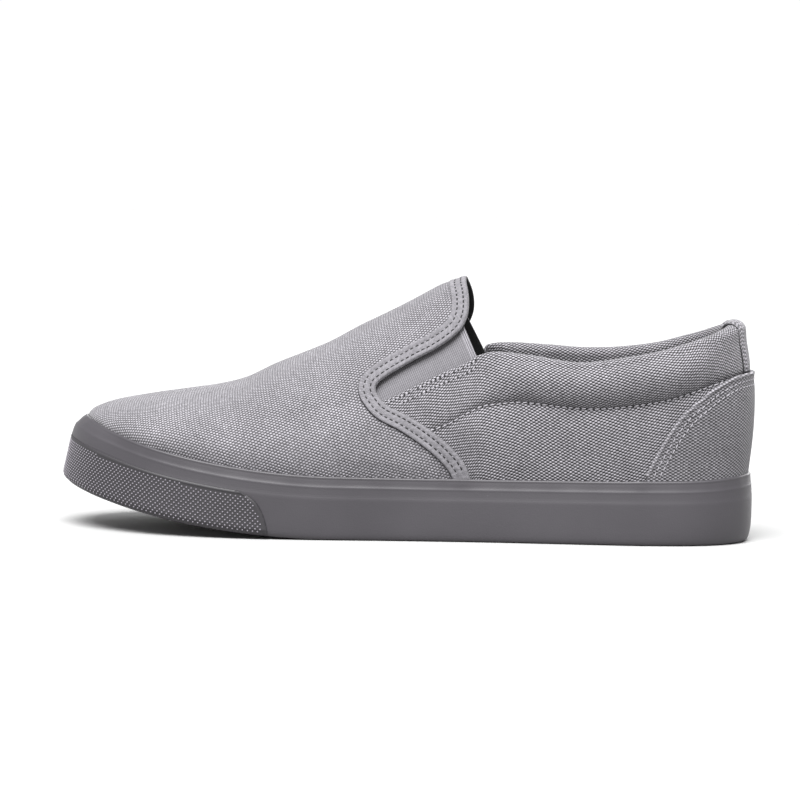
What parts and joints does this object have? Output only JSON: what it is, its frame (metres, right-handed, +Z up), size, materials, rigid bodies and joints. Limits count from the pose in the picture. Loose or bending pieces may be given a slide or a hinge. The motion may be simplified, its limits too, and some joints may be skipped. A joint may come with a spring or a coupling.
{
  "type": "slip-on sneaker",
  "caption": "Low slip-on canvas sneaker, left foot: elastic side gores, padded collar, taped vamp edge and a rubber sole with side band and toe bumper.",
  "frame": {"origin": "on the floor under the waist of the sole, half way along its length, on the underside of the outsole", "axes": "toe points along -X, the outer side of the foot faces -Y, +Z is up"},
  "size_m": [0.2898, 0.1044, 0.1097],
  "materials": {
    "canvas": "coarse plain-weave cotton canvas, matt mid grey",
    "tape": "smooth woven cotton tape, matt, a little lighter than the canvas",
    "elastic": "fine ribbed elastic webbing, matt neutral grey",
    "lining": "black cotton lining, matt",
    "thread": "grey polyester thread",
    "insole_cloth": "dark grey cloth over foam, matt",
    "foxing_rubber": "semi-matt grey rubber with a soft sheen",
    "bumper_rubber": "grey rubber with small raised dots, matt",
    "tread_rubber": "dark grey rubber, matt"
  },
  "bodies": {
    "root": {"outsole": "tread_rubber", "foxing": "foxing_rubber", "toe_bumper": "bumper_rubber", "insole": "insole_cloth", "upper": "canvas", "gore_lateral": "elastic", "gore_medial": "elastic", "vamp_binding": "tape", "heel_counter": "canvas", "heel_tab": "canvas"}
  },
  "joints": []
}
